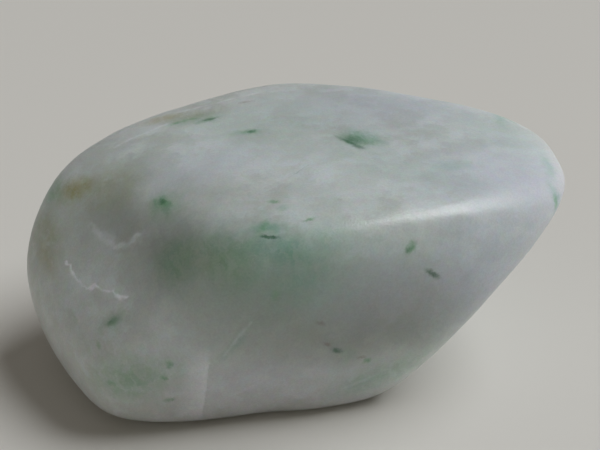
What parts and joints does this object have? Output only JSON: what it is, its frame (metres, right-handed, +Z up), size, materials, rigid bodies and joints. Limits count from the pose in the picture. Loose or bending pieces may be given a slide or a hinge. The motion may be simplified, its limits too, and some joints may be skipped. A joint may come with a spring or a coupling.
{
  "type": "raw jade boulder",
  "caption": "Water-worn boulder of pale jadeite with green flecks, broad at the left, undercut at the right, a sharp ridge along its top front edge and a flat base.",
  "frame": {"origin": "under the middle of the stone's bounding box, on the plane that it rests on", "axes": "+X along the stone's long axis, towards its narrow undercut end; -Y towards the steep front face below the ridge; +Z up"},
  "size_m": [0.095, 0.0594, 0.0406],
  "materials": {
    "jadeite": "semi-polished, waxy, pale grey-green with green flecks"
  },
  "bodies": {
    "root": {"jade_boulder": "jadeite"}
  },
  "joints": []
}
